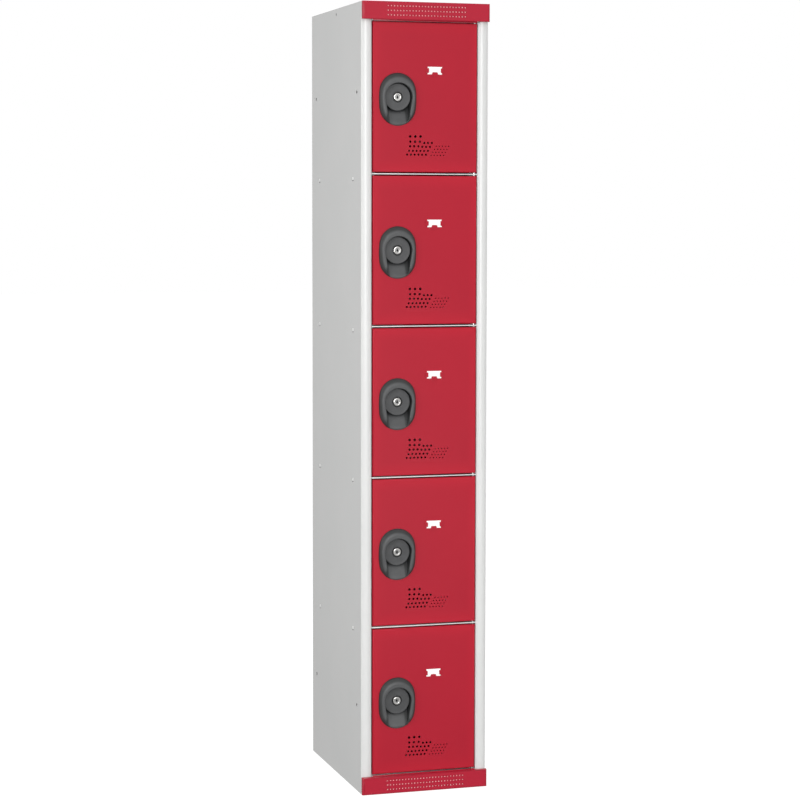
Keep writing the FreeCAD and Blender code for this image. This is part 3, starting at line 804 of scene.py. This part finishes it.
def vents():
    """Outlines of the vents: larger holes that spread as they rise, and a slanted field of pinholes."""
    holes = []
    for height, start, pitch, count, radius in VENT_ROWS:
        for column in range(count):
            holes.append(ring(start + pitch * column, height, radius, 20))
    for row in range(PINHOLE_ROWS):
        for column in range(PINHOLE_COLUMNS):
            across = PINHOLE_X + PINHOLE_LEAN * row + PINHOLE_ACROSS * column
            holes.append(ring(across, PINHOLE_Z + PINHOLE_UP * row, PINHOLE_RADIUS, 14))
    return holes


def cup_outline(gap):
    """Outline of the handle's cup about the lock, with rounded corners."""
    wide, shoulder, foot, hip, drop = 35.5 + gap, 19.5 + gap, 22 + gap, -24, -54.3 - gap
    right = [(foot, drop), (wide, hip), (wide, shoulder), (shoulder, wide)]
    left = [(-u, v) for u, v in reversed(right)]
    return eased(right + left, 5 if gap else 4.5)


def card_tab(form, outline, foot):
    """Lug over one edge of the card, with the foot that carries it."""
    front = DOOR_FACE - 1.4
    plate(form, outline, [], facing_front(front, TAB_SHEET), TAB_SHEET)
    low, high = foot
    block(form, (low[0], front + 0.3, low[1]), (high[0], DOOR_FACE + 0.3, high[1]), 0.2)


def card_tabs(form):
    """Rounded lugs at both sides of the card and a wider one below it."""
    for side in (-1, 1):
        edge = CARD.x + side * CARD_HALF.x
        near, far = sorted((edge - side * TAB_OVERLAP, edge + side * TAB_HEEL))
        outline = eased(rectangle(near, CARD.z - TAB_HALF, far, CARD.z + TAB_HALF), 1.6)
        near, far = sorted((edge + side * FOOT_GAP, edge + side * (TAB_HEEL - FOOT_INSET)))
        rise = TAB_HALF - FOOT_INSET
        card_tab(form, outline, ((near, CARD.z - rise), (far, CARD.z + rise)))
    edge = CARD.z - CARD_HALF.z
    outline = eased([(CARD.x + u, edge + v) for u, v in LOW_TAB], 1.0)
    (left, heel), (right, _) = LOW_TAB[:2]
    low = (CARD.x + left + FOOT_INSET, edge + heel + FOOT_INSET)
    card_tab(form, outline, (low, (CARD.x + right - FOOT_INSET, edge - FOOT_GAP)))


def door_leaf():
    """Folded door: vented front, rolled edges, hems at both sides and the card's tabs."""
    form = bmesh.new()
    half, rise = DOOR_HALF - DOOR_FOLD, DOOR_RISE - DOOR_FOLD
    cut = [(LOCK_X + u, v) for u, v in cup_outline(0.5)]
    front = rectangle(-half, -rise, half, rise)
    plate(form, front, vents() + [cut], facing_front(DOOR_FACE, DOOR_SHEET), DOOR_SHEET)
    folds = bmesh.new()
    depth = DOOR_BACK - DOOR_FACE
    folded_rim(folds, DOOR_HALF, -DOOR_RISE, DOOR_RISE, DOOR_FACE, DOOR_FOLD, DOOR_FOLD, depth)
    trim = bmesh.new()
    for side in (-1, 1):
        near, far = sorted((side * (DOOR_HALF - 0.9), side * (DOOR_HALF - HEM_WIDTH)))
        block(trim, (near, DOOR_BACK - 1, 1.1 - DOOR_RISE), (far, DOOR_BACK, DOOR_RISE - 1.1), 0.3)
    card_tabs(trim)
    return joined(form, folds, trim)


# Handles and locks

# Heights count forward from the door's face, and places from the lock
BEZEL_RISE = 9.8
BEZEL_LEAST = 4.0
RIM_RISE = 0.8
FLANK_BULGE = 1.4
POCKET_SHIFT = 0.8
POCKET_RADIUS = 31.5
POCKET_FLOOR = -19.0
POCKET_FOOT = [(-20.5, -70), (20.5, -70)]
SCOOP_LIP = 3.0
SCOOP_START, SCOOP_RUN = -14, 44
SCOOP_SWELL = 0.3
STEP_START, STEP_RUN, STEP_RISE = 13, 6, 10.5
# Degrees: half of the angle over which the bezel is as low as the lip, and the angle over which it rises
LIP_HALF, LIP_RISE = 16, 24
FLOOR_PARTS = (0.985, 0.95, 0.9, 0.82, 0.74, 0.66, 0.58, 0.5, 0.4, 0.3, 0.2, 0.1, 0.02)
# Sections behind the door, outward from the cup's wall and from the boss
CUP_SECTION = [(0.4, 0.0), (0.0, -0.6), (0.0, -18.5), (-0.7, -20.3), (-2.5, -21.0)]
BOSS_SECTION = [(0.5, -21.0), (0.0, -21.5), (0.0, -24.5), (-0.5, -25.0)]
STEM_HALF = 11
SPINDLE_HALF = 3.5
KEYHOLE_RADIUS = 2.3
KEY_SLOT_HALF, KEY_SLOT_RISE = 1.15, 3.6


def handle_oval():
    """Outline of the bezel about the lock: four arcs that run into one another."""
    half_width, half_height, end, drop = 43.8, 59.2, 43.0, 4.85
    shift = half_height - end
    side = (half_width ** 2 + shift ** 2 - end ** 2) / (2 * (half_width - end))
    lean = math.degrees(math.asin(shift / (side - end)))
    points = arc(half_width - side, -drop, side, -lean, lean, 24)[:-1]
    points += arc(0, shift - drop, end, lean, 180 - lean, 32)[:-1]
    points += arc(side - half_width, -drop, side, 180 - lean, 180 + lean, 24)[:-1]
    points += arc(0, -shift - drop, end, 180 + lean, 360 - lean, 32)[:-1]
    return points


def scoop(v):
    """Height of the pocket's floor: deep behind the disc, stepped up above, ramping out to the lip below."""
    part = min(max((SCOOP_START - v) / SCOOP_RUN, 0.0), 1.0)
    swell = (1 + SCOOP_SWELL) * part - SCOOP_SWELL * part * part
    ramp = POCKET_FLOOR + (SCOOP_LIP - POCKET_FLOOR) * swell
    return ramp + STEP_RISE * smooth_step((v - STEP_START) / STEP_RUN)


def bezel_profile(rim, edge, crown, foot):
    """Section of the bezel from its rim, up a steep flank, over the crown and down the pocket's wall."""
    ease = min(2.2, (crown - foot) / 2 + 0.05)
    flank = min(13.5, 0.66 * (rim - edge - ease))
    profile = [(rim, 0.0), (rim, RIM_RISE)]
    for step in range(1, 13):
        left = 1 - step / 12
        rise = (1 - left ** FLANK_BULGE) ** (1 / FLANK_BULGE)
        profile.append((rim - flank * (1 - left), RIM_RISE + (crown - RIM_RISE) * rise))
    for step in range(1, 4):
        profile.append((rim - flank + (edge + ease - rim + flank) * step / 3, crown))
    for step in range(1, 7):
        turn = math.radians(15 * step)
        profile.append((edge + ease * (1 - math.sin(turn)), crown - ease * (1 - math.cos(turn))))
    profile.append((edge - 0.1, foot))
    return profile


def handle_form():
    """Moulded handle, one section for each ray about the lock: bezel, pocket with its scoop, cup and boss."""
    rays = 144
    oval = handle_oval()
    pocket = arc(POCKET_SHIFT, 0, POCKET_RADIUS, 0, 180, 40) + POCKET_FOOT
    cup = cup_outline(0)
    boss = eased(rectangle(-STEM_HALF, -STEM_HALF, STEM_HALF, STEM_HALF), 2)
    sections = []
    for ray in range(rays):
        angle = 2 * math.pi * ray / rays
        across, up = math.cos(angle), math.sin(angle)
        rim = reach(oval, angle)
        edge = min(reach(pocket, angle), rim - BEZEL_LEAST)
        below = math.degrees(math.atan2(abs(across), -up))
        crown = SCOOP_LIP + (BEZEL_RISE - SCOOP_LIP) * smooth_step((below - LIP_HALF) / LIP_RISE)
        foot = min(scoop(up * edge), crown)
        section = bezel_profile(rim, edge, crown, foot)
        for part in FLOOR_PARTS:
            section.append((edge * part, min(scoop(up * edge * part), foot)))
        section.reverse()
        wall, core = reach(cup, angle), reach(boss, angle)
        section += [(wall + out, high) for out, high in CUP_SECTION]
        section += [(core + out, high) for out, high in BOSS_SECTION]
        sections.append([(LOCK_X + across * out, DOOR_FACE - high, up * out) for out, high in section])
    form = bmesh.new()
    skin(form, list(zip(*sections)))
    return form


def turned_on_lock(form, face, profile, steps=64):
    """Solid of revolution about the lock; the profile gives (radius, depth behind the face)."""
    turned(form, (LOCK_X, 0), [(radius, face + behind) for radius, behind in profile], steps=steps)


def square_bar(form, half, front, back, bevel):
    """Square bar behind the lock."""
    block(form, (LOCK_X - half, front, -half), (LOCK_X + half, back, half), bevel)


def disc_form(number):
    """Pull disc with a rolled edge, a shallow dish and a well round the lock, on its square stem."""
    low, high = span(f"pull_disc_{number}")
    radius = (high.x - low.x) / 2
    face = low.y
    form = bmesh.new()
    roll = 1.4
    profile = [(0.2, 8.0), (11.2, 8.0), (11.5, 7.6), (11.7, 0.9), (12.3, 0.2)]
    profile += [(14.0, 0.25), (24.0, 0.35), (28.0, 0.1)]
    profile += [(radius - roll + u, roll - v) for u, v in arc(0, 0, roll, 90, 0, 6)]
    profile += [(radius, 3.8), (radius - 0.4, 4.6), (radius - 1.2, 5.0), (12.8, 5.0)]
    profile += [(12.6, 5.2), (12.6, 8.2), (12.2, 8.6), (0.2, 8.6)]
    turned_on_lock(form, face, profile)
    square_bar(form, STEM_HALF, face + 8.4, high.y, 0.8)
    return form


def plug_form(number):
    """Round lock face: a bright collar on its barrel, and the square spindle behind it."""
    low, high = span(f"lock_plug_{number}")
    face = low.y
    form = bmesh.new()
    collar = [(5.0, 8.5), (5.0, 0.7), (5.7, 0.1), (6.2, 0.0), (8.0, 0.0)]
    collar += [(8.6, 0.25), (8.75, 0.7), (8.75, 9.0), (5.0, 9.0)]
    turned_on_lock(form, face, collar)
    square_bar(form, SPINDLE_HALF, face + 8.6, high.y, 0.4)
    return form


def key_barrel(number):
    """Sunk barrel with a keyhole: a round hole with a slot through it."""
    face = span(f"lock_plug_{number}")[0].y
    left, right = LOCK_X - KEY_SLOT_HALF, LOCK_X + KEY_SLOT_HALF
    hole = arc(LOCK_X, 0, KEYHOLE_RADIUS, -60, 60, 10) + [(right, KEY_SLOT_RISE), (left, KEY_SLOT_RISE)]
    hole += arc(LOCK_X, 0, KEYHOLE_RADIUS, 120, 240, 10) + [(left, -KEY_SLOT_RISE), (right, -KEY_SLOT_RISE)]
    form = bmesh.new()
    sunk, thickness = 1.6, 0.8
    plate(form, ring(LOCK_X, 0, 5.0, 48), [hole], facing_front(face + sunk, thickness), thickness)
    return form


def keyhole_shade(number):
    """Dark funnel behind the keyhole: black as painted shade deep in the keyhole."""
    face = span(f"lock_plug_{number}")[0].y
    form = bmesh.new()
    turned_on_lock(form, face, [(0.2, 8.2), (4.6, 4.0), (4.9, 4.4), (4.9, 8.8), (0.2, 8.8)], steps=32)
    return form


for number in DOORS:
    leaf, lock = f"door_leaf_{number}", f"lock_{number}"
    level = middle(f"door_{number}").z
    piece(f"door_skin_{number}", door_leaf(), leaf, "door_paint", red_paint, f"door_{number}", height=level)
    piece(f"handle_skin_{number}", handle_form(), leaf, "black_plastic", black_plastic, f"handle_{number}",
          height=level)
    piece(f"pull_disc_skin_{number}", disc_form(number), leaf, "black_plastic", disc_plastic,
          f"pull_disc_{number}", height=level)
    piece(f"lock_face_{number}", plug_form(number), lock, "bright_steel", nickel, f"lock_plug_{number}",
          height=level)
    piece(f"key_barrel_{number}", key_barrel(number), lock, "plated_steel", dull_steel, height=level)
    # Black funnel behind each keyhole as painted shade
    piece(f"keyhole_shade_{number}", keyhole_shade(number), lock, "black_plastic", black_plastic, height=level)
    for node in (f"cam_{number}", f"cam_bolt_{number}"):
        piece(f"{node}_skin", softened(node, 0.4), lock, "plated_steel", zinc, node)
    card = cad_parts[f"label_card_{number}"]
    card.data.materials.clear()
    card.data.materials.append(card_paper)


# Studio

def studio_floor():
    """Wide pale floor that only the camera sees."""
    form = bmesh.new()
    bmesh.ops.create_grid(form, x_segments=8, y_segments=8, size=30)
    mesh = bpy.data.meshes.new("studio_floor")
    form.to_mesh(mesh)
    form.free()
    mesh.materials.append(studio_paper())
    floor = bpy.data.objects.new("studio_floor", mesh)
    floor.visible_diffuse = False
    floor.visible_glossy = False
    bpy.context.collection.objects.link(floor)


def soft_box(name, azimuth, distance, level, target, size, radiance, lights=True, shines=True):
    """Rectangular light at an azimuth from the front, to the right, that looks at a height on the locker."""
    light = bpy.data.lights.new(name, "AREA")
    light.shape = "RECTANGLE"
    light.size, light.size_y = size
    light.energy = radiance * math.pi * size[0] * size[1]
    lamp = bpy.data.objects.new(name, light)
    turn = math.radians(azimuth)
    lamp.location = (math.sin(turn) * distance, -math.cos(turn) * distance, level)
    lamp.rotation_euler = (Vector((0, 0, target)) - lamp.location).to_track_quat("-Z", "Y").to_euler()
    lamp.visible_diffuse = lights
    lamp.visible_glossy = shines
    bpy.context.collection.objects.link(lamp)


def studio_world():
    """Even surround light, with a white backdrop for the camera."""
    world = bpy.data.worlds.new("studio")
    world.use_nodes = True
    nodes = Nodes(world.node_tree)
    seen = nodes.node("ShaderNodeLightPath", output="Is Camera Ray")
    way = nodes.node("ShaderNodeTexCoord", output="Generated")
    upward = nodes.node("ShaderNodeSeparateXYZ", {}, {0: way}, 2)
    strength = 0.625 + 0.2 * upward.reckon("TANH", upward * 3.0)
    surround = nodes.node("ShaderNodeBackground", {}, {"Color": (1, 1, 1, 1), "Strength": strength})
    backdrop = nodes.node("ShaderNodeBackground", {}, {"Color": (1, 1, 1, 1), "Strength": 1.0})
    both = nodes.node("ShaderNodeMixShader", {}, {0: seen, 1: surround, 2: backdrop})
    nodes.feed(world.node_tree.nodes["World Output"], {"Surface": both})
    bpy.context.scene.world = world


def photo_camera():
    """Camera at the photograph's angle: to the left of the locker, a little above its middle."""
    place = (-1.5304, -5.0735, 1.337)
    yaw, pitch, roll = math.radians(16.846), math.radians(4.357), math.radians(0.08)
    ahead = Vector((math.sin(yaw) * math.cos(pitch), math.cos(yaw) * math.cos(pitch), -math.sin(pitch)))
    right = Vector((math.cos(yaw), -math.sin(yaw), 0))
    up = right.cross(ahead)
    tilt = Matrix.Rotation(-roll, 3, ahead)
    right, up = tilt @ right, tilt @ up
    lens = bpy.data.cameras.new("photo_camera")
    lens.sensor_width = 36.0
    lens.lens = 100.95
    lens.shift_y = -0.025
    camera = bpy.data.objects.new("photo_camera", lens)
    turn = Matrix((right, up, -ahead)).transposed().to_4x4()
    camera.matrix_world = Matrix.Translation(place) @ turn
    bpy.context.collection.objects.link(camera)
    bpy.context.scene.camera = camera


studio_floor()
studio_world()
soft_box("front_soft_box", azimuth=-6, distance=6.5, level=2.05, target=2.05, size=(2.5, 2.9), radiance=6.5)
soft_box("low_soft_box", azimuth=8, distance=2.4, level=0.35, target=0.5, size=(1.0, 0.8), radiance=3.8,
         shines=False)
soft_box("high_soft_box", azimuth=-15, distance=4.5, level=4.4, target=0.9, size=(2.4, 2.0), radiance=2.9,
         shines=False)
soft_box("left_soft_box", azimuth=-55, distance=2.6, level=1.25, target=1.0, size=(1.2, 1.2), radiance=4.0,
         shines=False)
soft_box("left_sheen", azimuth=-75, distance=4.0, level=2.1, target=1.8, size=(4.0, 1.2), radiance=1.6,
         lights=False)
photo_camera()
bpy.context.scene.view_settings.view_transform = "Standard"
